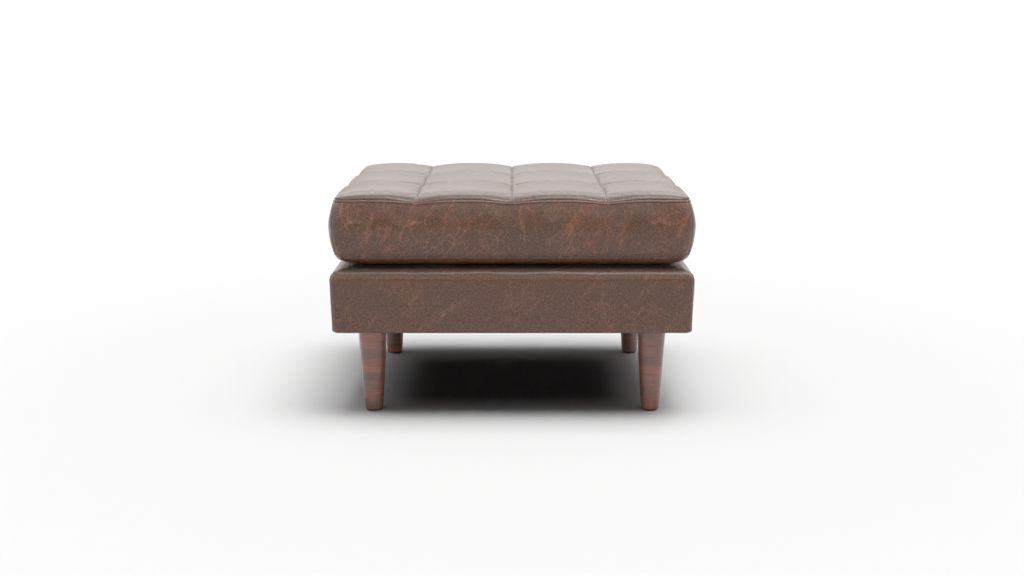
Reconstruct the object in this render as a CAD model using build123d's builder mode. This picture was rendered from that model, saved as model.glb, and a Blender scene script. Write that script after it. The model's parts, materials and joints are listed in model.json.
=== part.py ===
"""Tufted leather ottoman coffee table: a loose biscuit-tufted cushion on an upholstered box with turned legs.

Millimetres. The origin is on the floor under the middle of the table, +Z up, and the front faces -Y.
"""

from build123d import *
import os

os.makedirs("parts", exist_ok=True)

# Base, over its leather
base_width = 729
base_depth = 620
base_underside = 178
base_height = 130
base_roll_radius = 24
base_foot_radius = 7
base_corner_radius = 12
base_draw_in = 2.5
border_width = 60
underside_turn = 30
leather_thickness = 2

# Frame rails and their joints, under the deck pad
deck_pad_thickness = 26
side_padding_thickness = 6
rail_thickness = 22
centre_rail_height = 62
dowel_diameter = 10
dowel_length = 40
dowel_rail_depth = 15
dowel_edge_distance = 22
dowel_fit = 0.05

# Webbing on top of the rails
webbing_thickness = 1.5
webbing_width = 50
webbing_edge_gap = 3
webbing_flat = 4
lengthwise_strap_count = 5
crosswise_strap_count = 6

# Corner blocks and the screws that hold them
block_leg = 96
block_end = 30
block_height = 40
screw_inset = 22
screw_diameter = 5
screw_head_diameter = 10
screw_head_height = 3
screw_bite = 15
screw_seat = 13
screw_fit = 0.1

# Legs, hanger bolts, tee nuts and glides
leg_end_inset = 77.5
leg_side_inset = 75
leg_top_radius = 29.5
leg_foot_radius = 18.2
leg_swell = 0.6
leg_foot_rounding = 2
bolt_diameter = 8
bolt_bite = 40
bolt_reach = 35
bolt_fit = 0.1
tee_barrel_diameter = 10
tee_barrel_length = 12
tee_flange_diameter = 22
tee_flange_thickness = 1.5
tee_fit = 0.1
glide_radius = 15
glide_thickness = 3
glide_chamfer = 1
glide_pin_diameter = 2.4
glide_pin_length = 14
glide_pin_fit = 0.05

# Dust cover
dust_cover_thickness = 0.8
dust_cover_inset = 18
dust_cover_leg_gap = 3

# Cushion, over its leather: it overhangs the base's ends a little and sits back from its front and rear
cushion_overhang = 1.5
cushion_setback = 6
cushion_corner_radius = 34
seat_gap = 0.3
bottom_seam_rise = 26
boxing_height = 111
bulge_rise = 54
top_draw_in = 13
bottom_draw_in = 10
underside_tuck = 58
underside_drop_shares = ((0.07, 0.32), (0.22, 0.60), (0.50, 0.84))

# Tufting of the cushion's top
column_pitch = 188
row_pitch = 190
panel_edge = 3
edge_crest_rise = 0.5
crest_rise = 18
seam_rise = 10
tuft_rise = 4.5

# Hook and loop strips between the cushion and the platform
strip_length = 150
strip_width = 40
strip_thickness = 1.2
strip_inset_x = 120
strip_inset_y = 90

# Zip in the rear boxing
zip_end_margin = 86
zip_slot_height = 7
zip_tape_width = 16
zip_tape_thickness = 1
zip_tape_gap = 0.6
zip_pocket_fit = 0.3
zip_chain_width = 4.2
zip_chain_thickness = 2.2
slider_length = 10
slider_width = 9
slider_plate = 1.4
slider_lip = 0.9
slider_lip_depth = 1.6
slider_fit = 0.25
slider_seat_gap = 0.3
bail_length = 8
bail_width = 3
bail_wall = 1.4
bail_opening = 2.6
pull_length = 24
pull_width = 8.5
pull_thickness = 1.6
pull_arm = 1.9
pull_eye_length = 6
pull_rounding = 2
cut_overrun = 5

# Heights that follow
leather_top = base_underside + base_height
pad_top = leather_top - leather_thickness
pad_bottom = pad_top - deck_pad_thickness
rail_top = pad_bottom - 2 * webbing_thickness
rail_bottom = base_underside + leather_thickness
rail_height = rail_top - rail_bottom
cushion_rest = leather_top + seat_gap
bottom_seam = cushion_rest + bottom_seam_rise
bulge_height = bottom_seam + bulge_rise
top_seam = bottom_seam + boxing_height

# Plan sizes that follow
cover_gap = leather_thickness + side_padding_thickness
frame_width = base_width - 2 * cover_gap
frame_depth = base_depth - 2 * cover_gap
inside_width = frame_width - 2 * rail_thickness
inside_depth = frame_depth - 2 * rail_thickness
cushion_width = base_width + 2 * cushion_overhang
cushion_depth = base_depth - 2 * cushion_setback
leg_x = base_width / 2 - leg_end_inset
leg_y = base_depth / 2 - leg_side_inset
zip_length = cushion_width - 2 * zip_end_margin
corners = {
    "front_left": (-1, -1),
    "front_right": (1, -1),
    "rear_left": (-1, 1),
    "rear_right": (1, 1),
}
side_facings = {"front": (0, -1), "rear": (0, 1), "left": (-1, 0), "right": (1, 0)}


def save(part, name):
    """Labels one finished piece and writes its file."""
    part.label = name
    export_step(part, f"parts/{name}.step")


def box_between(low, high, mode=Mode.ADD):
    """A block from its low corner to its high corner."""
    sizes = [b - a for a, b in zip(low, high)]
    middle = [(a + b) / 2 for a, b in zip(low, high)]
    with Locations(tuple(middle)):
        Box(*sizes, mode=mode)


def side_wedge(side, width, depth, reach):
    """The plan of one side of a box, mitred at both ends, reaching inwards from the edge."""
    outer_x, outer_y = width / 2 + cut_overrun, depth / 2 + cut_overrun
    inner_x, inner_y = width / 2 - reach, depth / 2 - reach
    front = [(-outer_x, -outer_y), (outer_x, -outer_y), (inner_x, -inner_y), (-inner_x, -inner_y)]
    left = [(-outer_x, -outer_y), (-inner_x, -inner_y), (-inner_x, inner_y), (-outer_x, outer_y)]
    if side == "front":
        return front
    if side == "rear":
        return [(x, -y) for x, y in front]
    if side == "left":
        return left
    return [(-x, y) for x, y in left]


def mitred_border(side, inset):
    """One side of the base's form with its roll, mitred at both ends and drawn in by inset."""
    face_x, face_y = side_facings[side]
    half, run = (base_width / 2, base_depth / 2) if face_x else (base_depth / 2, base_width / 2)
    low = base_underside + inset
    high = leather_top - inset
    face = half - inset
    with BuildPart() as border:
        with BuildSketch(Plane((0, 0, 0), x_dir=(face_x, face_y, 0), z_dir=(face_y, -face_x, 0))) as section:
            Polygon(
                (half - border_width, low),
                (face - base_draw_in, low),
                (face, high),
                (half - border_width, high),
                align=None,
            )
            for level, radius in ((0, base_foot_radius), (-1, base_roll_radius)):
                outer_corner = section.vertices().group_by(Axis.Y)[level].sort_by(Axis.X)[-1]
                fillet(outer_corner, radius - inset)
        extrude(amount=run + cut_overrun, both=True)
        with BuildSketch(Plane.XY.offset(low)):
            Polygon(*side_wedge(side, base_width, base_depth, border_width), align=None)
        extrude(amount=high - low, mode=Mode.INTERSECT)
    return border.part


def padded_base(inset):
    """The upholstered base's form, drawn in all round by inset: four borders round a plain middle."""
    low = base_underside + inset
    high = leather_top - inset
    middle_x, middle_y = base_width / 2 - border_width, base_depth / 2 - border_width
    with BuildPart() as form:
        box_between((-middle_x, -middle_y, low), (middle_x, middle_y, high))
        for side in side_facings:
            add(mitred_border(side, inset))
        with BuildSketch(Plane.XY.offset(low - cut_overrun)):
            RectangleRounded(base_width - 2 * inset, base_depth - 2 * inset, base_corner_radius - inset)
        extrude(amount=high - low + 2 * cut_overrun, mode=Mode.INTERSECT)
    return form.part


# Frame rails
dowel_heights = (rail_bottom + dowel_edge_distance, rail_bottom + centre_rail_height - dowel_edge_distance)
dowel_lines = (-frame_width / 2 + rail_thickness / 2, 0, frame_width / 2 - rail_thickness / 2)
rail_edge_radius = base_foot_radius - leather_thickness
screw_height = rail_bottom + block_height / 2
screw_x = inside_width / 2 - block_leg + screw_inset
screw_y = inside_depth / 2 - block_leg + screw_inset

for name, facing in (("front_rail", -1), ("rear_rail", 1)):
    inner_face = facing * inside_depth / 2
    with BuildPart() as rail:
        with BuildSketch(Plane.XY.offset(rail_bottom)):
            with Locations((0, inner_face + facing * rail_thickness / 2)):
                Rectangle(frame_width, rail_thickness)
        extrude(amount=rail_height)
        foot_edges = rail.edges().group_by(Axis.Z)[0].sort_by(Axis((0, 0, 0), (0, facing, 0)))
        fillet(foot_edges[1:], rail_edge_radius)
        for x in dowel_lines:
            for z in dowel_heights:
                with Locations(Plane((x, inner_face, z), z_dir=(0, -facing, 0))):
                    Hole(dowel_diameter / 2 + dowel_fit, dowel_rail_depth)
        for x in (-screw_x, screw_x):
            with Locations(Plane((x, inner_face, screw_height), z_dir=(0, -facing, 0))):
                Hole(screw_diameter / 2 + screw_fit, screw_bite + screw_fit)
    save(rail.part, name)

end_bite = dowel_length - dowel_rail_depth
for name, x, height in (
    ("left_rail", dowel_lines[0], rail_height),
    ("centre_rail", dowel_lines[1], centre_rail_height),
    ("right_rail", dowel_lines[2], rail_height),
):
    with BuildPart() as rail:
        with BuildSketch(Plane.XY.offset(rail_bottom)):
            with Locations((x, 0)):
                Rectangle(rail_thickness, inside_depth)
        extrude(amount=height)
        for facing in (-1, 1):
            for z in dowel_heights:
                with Locations(Plane((x, facing * inside_depth / 2, z), z_dir=(0, facing, 0))):
                    Hole(dowel_diameter / 2 + dowel_fit, end_bite)
        if x:
            facing = 1 if x > 0 else -1
            foot_edges = rail.edges().filter_by(Axis.Y).group_by(Axis.Z)[0]
            fillet(foot_edges.sort_by(Axis((0, 0, 0), (facing, 0, 0)))[-1], rail_edge_radius)
            for y in (-screw_y, screw_y):
                with Locations(Plane((facing * inside_width / 2, y, screw_height), z_dir=(-facing, 0, 0))):
                    Hole(screw_diameter / 2 + screw_fit, screw_bite + screw_fit)
    save(rail.part, name)

# Dowels, one solid in each hole
dowel_middle = inside_depth / 2 + dowel_rail_depth - dowel_length / 2
dowel_seats = [
    Plane((x, facing * dowel_middle, z), z_dir=(0, 1, 0))
    for x in dowel_lines
    for facing in (-1, 1)
    for z in dowel_heights
]
with BuildPart() as frame_dowels:
    with Locations(*dowel_seats):
        Cylinder(dowel_diameter / 2, dowel_length)
save(frame_dowels.part, "frame_dowels")

# Corner blocks, bored for the leg bolts and counterbored for the screws
for corner, (sx, sy) in corners.items():
    x0, y0 = sx * inside_width / 2, sy * inside_depth / 2
    slant = screw_inset + block_end - screw_seat
    with BuildPart() as corner_block:
        with BuildSketch(Plane.XY.offset(rail_bottom)):
            Polygon(
                (x0, y0),
                (x0 - sx * block_leg, y0),
                (x0 - sx * block_leg, y0 - sy * block_end),
                (x0 - sx * block_end, y0 - sy * block_leg),
                (x0, y0 - sy * block_leg),
                align=None,
            )
        extrude(amount=block_height)
        with Locations((sx * leg_x, sy * leg_y, rail_bottom + block_height)):
            Hole(tee_barrel_diameter / 2 + tee_fit)
        for seat in (
            Plane((sx * screw_x, y0 - sy * slant, screw_height), z_dir=(0, -sy, 0)),
            Plane((x0 - sx * slant, sy * screw_y, screw_height), z_dir=(-sx, 0, 0)),
        ):
            with Locations(seat):
                Cylinder(
                    screw_head_diameter / 2 + screw_fit, block_leg,
                    align=(Align.CENTER, Align.CENTER, Align.MIN), mode=Mode.SUBTRACT,
                )
                Cylinder(
                    screw_diameter / 2 + screw_fit, block_leg,
                    align=(Align.CENTER, Align.CENTER, Align.MAX), mode=Mode.SUBTRACT,
                )
    save(corner_block.part, f"corner_block_{corner}")

# Screws through the corner blocks into the rails
screw_length = slant + screw_bite
with BuildPart() as block_screws:
    for sx, sy in corners.values():
        x0, y0 = sx * inside_width / 2, sy * inside_depth / 2
        for seat in (
            Plane((sx * screw_x, y0 - sy * slant, screw_height), z_dir=(0, -sy, 0)),
            Plane((x0 - sx * slant, sy * screw_y, screw_height), z_dir=(-sx, 0, 0)),
        ):
            with Locations(seat):
                Cylinder(
                    screw_head_diameter / 2, screw_head_height, align=(Align.CENTER, Align.CENTER, Align.MIN)
                )
                Cylinder(
                    screw_diameter / 2, screw_length - screw_diameter,
                    align=(Align.CENTER, Align.CENTER, Align.MAX),
                )
            with Locations(seat.offset(screw_diameter - screw_length)):
                Cone(
                    0, screw_diameter / 2, screw_diameter,
                    align=(Align.CENTER, Align.CENTER, Align.MAX),
                )
save(block_screws.part, "block_screws")

# Tee nuts on top of the blocks, and the hanger bolts between them and the legs
leg_spots = [(sx * leg_x, sy * leg_y) for sx, sy in corners.values()]
block_top = rail_bottom + block_height
with BuildPart() as tee_nuts:
    with BuildSketch(Plane.XY.offset(block_top)):
        with Locations(*leg_spots):
            Circle(tee_flange_diameter / 2)
    extrude(amount=tee_flange_thickness)
    with BuildSketch(Plane.XY.offset(block_top)):
        with Locations(*leg_spots):
            Circle(tee_barrel_diameter / 2)
    extrude(amount=-tee_barrel_length)
    with Locations(*[(x, y, block_top) for x, y in leg_spots]):
        Hole(bolt_diameter / 2 + bolt_fit)
save(tee_nuts.part, "tee_nuts")

with BuildPart() as hanger_bolts:
    with BuildSketch(Plane.XY.offset(rail_bottom - bolt_bite)):
        with Locations(*leg_spots):
            Circle(bolt_diameter / 2)
    extrude(amount=bolt_bite + bolt_reach)
save(hanger_bolts.part, "hanger_bolts")

# Legs, turned with a slight swell, and their glides
for corner, (sx, sy) in corners.items():
    spot = (sx * leg_x, sy * leg_y)
    leg_plane = Plane((spot[0], spot[1], 0), x_dir=(1, 0, 0), z_dir=(0, -1, 0))
    mid_radius = (leg_top_radius + leg_foot_radius) / 2 + leg_swell
    with BuildPart() as leg:
        with BuildSketch(leg_plane):
            with BuildLine():
                Line((0, rail_bottom), (0, glide_thickness))
                foot = Line((0, glide_thickness), (leg_foot_radius, glide_thickness))
                ThreePointArc(
                    foot @ 1,
                    (mid_radius, (glide_thickness + rail_bottom) / 2),
                    (leg_top_radius, rail_bottom),
                )
                Line((leg_top_radius, rail_bottom), (0, rail_bottom))
            make_face()
        revolve(axis=Axis((spot[0], spot[1], 0), (0, 0, 1)))
        fillet(leg.edges().filter_by(GeomType.CIRCLE).sort_by(Axis.Z)[0], leg_foot_rounding)
        with Locations((spot[0], spot[1], rail_bottom)):
            Hole(bolt_diameter / 2 + bolt_fit, bolt_bite + bolt_fit)
        with Locations(Plane((spot[0], spot[1], glide_thickness), z_dir=(0, 0, -1))):
            Hole(glide_pin_diameter / 2 + glide_pin_fit, glide_pin_length + glide_pin_fit)
    save(leg.part, f"leg_{corner}")

    with BuildPart() as glide:
        with BuildSketch():
            with Locations(spot):
                Circle(glide_radius)
        extrude(amount=glide_thickness)
        chamfer(glide.edges().filter_by(GeomType.CIRCLE).sort_by(Axis.Z)[0], glide_chamfer)
        with BuildSketch(Plane.XY.offset(glide_thickness)):
            with Locations(spot):
                Circle(glide_pin_diameter / 2)
        extrude(amount=glide_pin_length)
    save(glide.part, f"glide_{corner}")


def woven_outline(run, inside, crossings, first):
    """The side view of one strap that passes over and under the straps it crosses."""
    under = [(-run, 0), (-inside, 0)]
    for index, place in enumerate(crossings):
        lift = webbing_thickness if (index + first) % 2 else 0
        under.append((place - webbing_width / 2 - webbing_flat, lift))
        under.append((place + webbing_width / 2 + webbing_flat, lift))
    under += [(inside, 0), (run, 0)]
    over = [(u, lift + webbing_thickness) for u, lift in reversed(under)]
    return [(u, rail_top + lift) for u, lift in under + over]


# Webbing, woven over and under
strap_ys = [inside_depth * ((i + 0.5) / lengthwise_strap_count - 0.5) for i in range(lengthwise_strap_count)]
strap_xs = [inside_width * ((i + 0.5) / crosswise_strap_count - 0.5) for i in range(crosswise_strap_count)]
with BuildPart() as lengthwise_webbing:
    for index, y in enumerate(strap_ys):
        with BuildSketch(Plane.XZ.offset(-y)):
            run = frame_width / 2 - webbing_edge_gap
            Polygon(*woven_outline(run, inside_width / 2, strap_xs, index), align=None)
        extrude(amount=webbing_width / 2, both=True)
save(lengthwise_webbing.part, "lengthwise_webbing")

with BuildPart() as crosswise_webbing:
    for index, x in enumerate(strap_xs):
        with BuildSketch(Plane.YZ.offset(x)):
            run = frame_depth / 2 - webbing_edge_gap
            Polygon(*woven_outline(run, inside_depth / 2, strap_ys, index + 1), align=None)
        extrude(amount=webbing_width / 2, both=True)
save(crosswise_webbing.part, "crosswise_webbing")

# Deck pad and the wadding round the rails
lining = padded_base(leather_thickness)
with BuildPart() as deck_pad:
    add(lining)
    split(bisect_by=Plane.XY.offset(pad_bottom), keep=Keep.TOP)
save(deck_pad.part, "deck_pad")

with BuildPart() as side_padding:
    add(lining)
    split(bisect_by=Plane.XY.offset(pad_bottom), keep=Keep.BOTTOM)
    with BuildSketch(Plane.XY.offset(rail_bottom - cut_overrun)):
        Rectangle(frame_width, frame_depth)
    extrude(amount=pad_bottom - rail_bottom + 2 * cut_overrun, mode=Mode.SUBTRACT)
save(side_padding.part, "side_padding")

# Leather panels of the base, mitred at the corners and turned under the rails
with BuildPart() as base_skin:
    add(padded_base(0))
    add(lining, mode=Mode.SUBTRACT)
    with BuildSketch(Plane.XY.offset(base_underside - cut_overrun)):
        Rectangle(base_width - 2 * underside_turn, base_depth - 2 * underside_turn)
    extrude(amount=leather_thickness + 2 * cut_overrun, mode=Mode.SUBTRACT)

for side in side_facings:
    with BuildPart() as base_panel:
        add(base_skin.part)
        with BuildSketch(Plane.XY.offset(base_underside)):
            Polygon(*side_wedge(side, base_width, base_depth, border_width), align=None)
        extrude(amount=base_height, mode=Mode.INTERSECT)
    save(base_panel.part, f"base_{side}_panel")

strip_x = cushion_width / 2 - strip_inset_x - strip_width / 2
strip_y = cushion_depth / 2 - strip_inset_y - strip_length / 2
strip_spots = [(sx * strip_x, sy * strip_y) for sx, sy in corners.values()]
with BuildPart() as platform_panel:
    with BuildSketch(Plane.XY.offset(pad_top)):
        Rectangle(base_width - 2 * border_width, base_depth - 2 * border_width)
    extrude(amount=leather_thickness)
    with BuildSketch(Plane.XY.offset(leather_top)):
        with Locations(*strip_spots):
            Rectangle(strip_width, strip_length)
    extrude(amount=-strip_thickness, mode=Mode.SUBTRACT)
save(platform_panel.part, "platform_panel")

with BuildPart() as hook_strips:
    with BuildSketch(Plane.XY.offset(leather_top)):
        with Locations(*strip_spots):
            Rectangle(strip_width, strip_length)
    extrude(amount=-strip_thickness)
save(hook_strips.part, "hook_strips")

with BuildPart() as loop_strips:
    with BuildSketch(Plane.XY.offset(cushion_rest)):
        with Locations(*strip_spots):
            Rectangle(strip_width, strip_length)
    extrude(amount=strip_thickness)
save(loop_strips.part, "loop_strips")

# Dust cover under the frame
with BuildPart() as dust_cover:
    with BuildSketch(Plane.XY.offset(base_underside)):
        Rectangle(base_width - 2 * dust_cover_inset, base_depth - 2 * dust_cover_inset)
        with Locations(*leg_spots):
            Circle(leg_top_radius + dust_cover_leg_gap, mode=Mode.SUBTRACT)
    extrude(amount=-dust_cover_thickness)
save(dust_cover.part, "dust_cover")


def boxing_form(inset):
    """The bulging band between the bottom seam and the top seam."""
    levels = ((bottom_seam, bottom_draw_in), (bulge_height, 0), (top_seam, top_draw_in))
    with BuildPart() as form:
        for height, seam_draw_in in levels:
            draw_in = seam_draw_in + inset
            with BuildSketch(Plane.XY.offset(height)):
                RectangleRounded(
                    cushion_width - 2 * draw_in,
                    cushion_depth - 2 * draw_in,
                    cushion_corner_radius - draw_in,
                )
        loft()
    return form.part


def underside_form(inset):
    """The part under the bottom seam, which rolls in to the resting face."""
    drop = bottom_seam_rise - inset
    levels = ((0, 0),) + underside_drop_shares + ((1, 1),)
    with BuildPart() as form:
        for tuck_share, drop_share in levels:
            tuck = tuck_share * underside_tuck
            draw_in = bottom_draw_in + tuck + inset
            with BuildSketch(Plane.XY.offset(bottom_seam - drop_share * drop)):
                RectangleRounded(
                    cushion_width - 2 * draw_in,
                    cushion_depth - 2 * draw_in,
                    cushion_corner_radius - bottom_draw_in - inset + tuck,
                )
        loft(ruled=True)
    return form.part


def crown_form(inset):
    """The tufted top: four columns of three biscuits, each column lofted between its two seams."""
    half_width = cushion_width / 2 - top_draw_in - inset
    half_depth = cushion_depth / 2 - top_draw_in - inset
    edge = panel_edge - inset
    row_seam = row_pitch / 2
    seams = (-half_width, -column_pitch, 0, column_pitch, half_width)
    with BuildPart() as form:
        for left, right in zip(seams, seams[1:]):
            for x in (left, (left + right) / 2, right):
                if x in (-half_width, half_width):
                    tuft, crest = edge, edge + edge_crest_rise
                elif x in seams:
                    tuft, crest = tuft_rise - inset, seam_rise - inset
                else:
                    tuft, crest = seam_rise - inset, crest_rise - inset
                ends = (
                    (-half_depth, top_seam + edge),
                    (-row_seam, top_seam + tuft),
                    (row_seam, top_seam + tuft),
                    (half_depth, top_seam + edge),
                )
                with BuildSketch(Plane.YZ.offset(x)):
                    with BuildLine():
                        Polyline(ends[-1], (half_depth, top_seam), (-half_depth, top_seam), ends[0])
                        for start, end in zip(ends, ends[1:]):
                            ThreePointArc(start, ((start[0] + end[0]) / 2, top_seam + crest), end)
                    make_face()
            loft()
        with BuildSketch(Plane.XY.offset(top_seam - cut_overrun)):
            radius = cushion_corner_radius - top_draw_in - inset
            for sx, sy in corners.values():
                with Locations((sx * (half_width - radius), sy * (half_depth - radius))):
                    Rectangle(
                        radius + cut_overrun, radius + cut_overrun,
                        align=(Align.MIN if sx > 0 else Align.MAX, Align.MIN if sy > 0 else Align.MAX),
                    )
                    Circle(radius, mode=Mode.SUBTRACT)
        extrude(amount=crest_rise + 2 * cut_overrun, mode=Mode.SUBTRACT)
    return form.part


# Zip places, measured from the fullest line of the rear boxing
zip_height = bulge_height
boxing_back = cushion_depth / 2
tape_face = boxing_back - leather_thickness - zip_tape_gap
tape_back = tape_face - zip_tape_thickness
chain_face = tape_face + zip_chain_thickness

# Leather of the cushion
inner_boxing = boxing_form(leather_thickness)
with BuildPart() as boxing_skin:
    add(boxing_form(0))
    add(inner_boxing, mode=Mode.SUBTRACT)
    box_between(
        (-zip_length / 2, chain_face - zip_chain_thickness, zip_height - zip_slot_height / 2),
        (zip_length / 2, boxing_back + cut_overrun, zip_height + zip_slot_height / 2),
        mode=Mode.SUBTRACT,
    )
for side in side_facings:
    with BuildPart() as boxing:
        add(boxing_skin.part)
        with BuildSketch(Plane.XY.offset(bottom_seam)):
            Polygon(*side_wedge(side, cushion_width, cushion_depth, border_width), align=None)
        extrude(amount=boxing_height, mode=Mode.INTERSECT)
    save(boxing.part, f"cushion_{side}_boxing")

inner_crown = crown_form(leather_thickness)
with BuildPart() as cushion_top_panel:
    add(crown_form(0))
    add(inner_crown, mode=Mode.SUBTRACT)
save(cushion_top_panel.part, "cushion_top_panel")

inner_underside = underside_form(leather_thickness)
with BuildPart() as cushion_bottom_panel:
    add(underside_form(0))
    add(inner_underside, mode=Mode.SUBTRACT)
    with BuildSketch(Plane.XY.offset(cushion_rest)):
        with Locations(*strip_spots):
            Rectangle(strip_width, strip_length)
    extrude(amount=strip_thickness, mode=Mode.SUBTRACT)
save(cushion_bottom_panel.part, "cushion_bottom_panel")

# Filling of the cushion
with BuildPart() as crown_pad:
    add(inner_crown)
save(crown_pad.part, "crown_pad")

with BuildPart() as cushion_core:
    add(inner_boxing)
    add(inner_underside)
    box_between(
        (
            -zip_length / 2 - zip_pocket_fit,
            tape_back - zip_pocket_fit,
            zip_height - zip_tape_width / 2 - zip_pocket_fit,
        ),
        (zip_length / 2 + zip_pocket_fit, boxing_back, zip_height + zip_tape_width / 2 + zip_pocket_fit),
        mode=Mode.SUBTRACT,
    )
save(cushion_core.part, "cushion_core")

# Zip tape and chain
with BuildPart() as zip_tape:
    box_between(
        (-zip_length / 2, tape_back, zip_height - zip_tape_width / 2),
        (zip_length / 2, tape_face, zip_height + zip_tape_width / 2),
    )
save(zip_tape.part, "zip_tape")

with BuildPart() as zip_chain:
    box_between(
        (-zip_length / 2, tape_face, zip_height - zip_chain_width / 2),
        (zip_length / 2, chain_face, zip_height + zip_chain_width / 2),
    )
save(zip_chain.part, "zip_chain")

# Zip slider, closed at the left end, with its bail
slider_x = -zip_length / 2 + slider_length / 2 + slider_fit
plate_back = boxing_back + slider_seat_gap
plate_face = plate_back + slider_plate
bail_top = plate_face + bail_opening
with BuildPart() as zip_slider:
    box_between(
        (slider_x - slider_length / 2, plate_back, zip_height - slider_width / 2),
        (slider_x + slider_length / 2, plate_face, zip_height + slider_width / 2),
    )
    lip_inner = zip_chain_width / 2 + slider_fit
    for side in (-1, 1):
        lip_edges = sorted((side * lip_inner, side * (lip_inner + slider_lip)))
        box_between(
            (slider_x - slider_length / 2, plate_back - slider_lip_depth, zip_height + lip_edges[0]),
            (slider_x + slider_length / 2, plate_back, zip_height + lip_edges[1]),
        )
        post_edges = sorted((side * bail_length / 2, side * (bail_length / 2 - bail_wall)))
        box_between(
            (slider_x + post_edges[0], plate_face, zip_height - bail_width / 2),
            (slider_x + post_edges[1], bail_top, zip_height + bail_width / 2),
        )
    box_between(
        (slider_x - bail_length / 2, bail_top, zip_height - bail_width / 2),
        (slider_x + bail_length / 2, bail_top + bail_wall, zip_height + bail_width / 2),
    )
save(zip_slider.part, "zip_slider")

# Zip pull, hanging on the bail and lying flat towards the left end
pull_y = plate_face + bail_opening / 2
with BuildPart() as zip_pull:
    with BuildSketch(Plane.XZ.offset(-pull_y)):
        with Locations((slider_x + pull_thickness / 2, zip_height)):
            Rectangle(pull_length, pull_width, align=(Align.MAX, Align.CENTER))
        with Locations((slider_x - pull_thickness / 2, zip_height)):
            Rectangle(
                pull_eye_length, pull_width - 2 * pull_arm, align=(Align.MAX, Align.CENTER), mode=Mode.SUBTRACT
            )
    extrude(amount=pull_thickness / 2, both=True)
    fillet(zip_pull.edges().filter_by(Axis.Y).group_by(Axis.X)[0], pull_rounding)
save(zip_pull.part, "zip_pull")

print("pull axis (mm):", slider_x, pull_y, zip_height)
print("top of the crown:", top_seam + crest_rise)
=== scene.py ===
"""Looks of a tufted leather ottoman table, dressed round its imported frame. Metres; the front faces -Y."""
import json
import math

import bpy
import numpy as np
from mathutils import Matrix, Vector

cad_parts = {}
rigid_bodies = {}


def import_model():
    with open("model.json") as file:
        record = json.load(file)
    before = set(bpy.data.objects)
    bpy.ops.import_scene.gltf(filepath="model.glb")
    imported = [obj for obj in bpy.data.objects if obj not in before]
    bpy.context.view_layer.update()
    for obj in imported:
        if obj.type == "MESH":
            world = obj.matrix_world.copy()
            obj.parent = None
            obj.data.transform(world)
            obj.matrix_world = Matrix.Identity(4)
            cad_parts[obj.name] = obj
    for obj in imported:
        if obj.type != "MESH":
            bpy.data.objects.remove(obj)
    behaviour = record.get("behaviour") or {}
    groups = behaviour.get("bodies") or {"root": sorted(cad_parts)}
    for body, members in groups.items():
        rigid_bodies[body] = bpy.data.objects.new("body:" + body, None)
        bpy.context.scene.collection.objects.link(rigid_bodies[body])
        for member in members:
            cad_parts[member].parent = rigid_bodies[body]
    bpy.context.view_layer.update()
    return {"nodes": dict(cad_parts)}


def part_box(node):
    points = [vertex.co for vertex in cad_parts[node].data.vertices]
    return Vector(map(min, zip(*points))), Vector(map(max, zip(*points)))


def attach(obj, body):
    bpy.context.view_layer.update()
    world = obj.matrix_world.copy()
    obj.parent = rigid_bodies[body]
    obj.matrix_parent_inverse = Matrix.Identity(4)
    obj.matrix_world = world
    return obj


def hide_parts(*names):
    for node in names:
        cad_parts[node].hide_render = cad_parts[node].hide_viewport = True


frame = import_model()
nodes = frame["nodes"]
MM = 0.001

# Places read from the frame
band_low, band_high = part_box("cushion_front_boxing")
panel_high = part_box("cushion_top_panel")[1]
under_low, under_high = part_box("cushion_bottom_panel")
side_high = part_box("cushion_right_boxing")[1]
front_low, front_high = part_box("base_front_panel")
right_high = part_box("base_right_panel")[1]
deck_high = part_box("platform_panel")[1]
pad_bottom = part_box("deck_pad")[0].z
dust_low, dust_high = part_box("dust_cover")
leg_low, leg_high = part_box("leg_rear_right")
leg_middle = ((leg_low.x + leg_high.x) / 2, (leg_low.y + leg_high.y) / 2)
chain_low, chain_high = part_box("zip_chain")
slider_low, slider_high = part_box("zip_slider")
pull_low, pull_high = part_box("zip_pull")

# Cushion
cushion_half = (side_high.x, -band_low.y)
bottom_seam, top_seam = band_low.z, band_high.z
cushion_rest = under_low.z
top_draw_in = cushion_half[0] - panel_high.x
bottom_draw_in = cushion_half[0] - under_high.x
underside_tuck = 58 * MM
corner_radius = 34 * MM
core = (cushion_half[0] - corner_radius, cushion_half[1] - corner_radius)
bulge_height = bottom_seam + 54 * MM
upper_bulge_power = 1.7
lower_bulge_power = 1.95
column_pitch = 188 * MM
row_pitch = 190 * MM
columns = (-column_pitch, 0, column_pitch)
rows = (-row_pitch / 2, row_pitch / 2)
inner_rim_share = 0.985

# Crown: shares are of its full rise, and a steepness is how much of a biscuit's fall lies close to its edge
crown_rise = panel_high.z - top_seam
column_share = 0.56
row_share = 0.76
biscuit_power = 2.3
edge_power = 24
side_steepness = 0.5
side_easing = 0.2
front_steepness = 0.38
front_easing = 0.34
column_end_reach = 34 * MM
tuft_depth = 7 * MM
tuft_reach = 24 * MM
tuft_power = 1.3
gather_height = 0.45 * MM
gather_reach = 12 * MM
gathers_per_tuft = 8
seam_crease = 2.2 * MM
column_crease_reach = 1 * MM
row_crease_share = 0.25
row_crease_reach = 3 * MM
cord_radius = 0.6 * MM
cord_lift = 0.5 * MM

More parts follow.
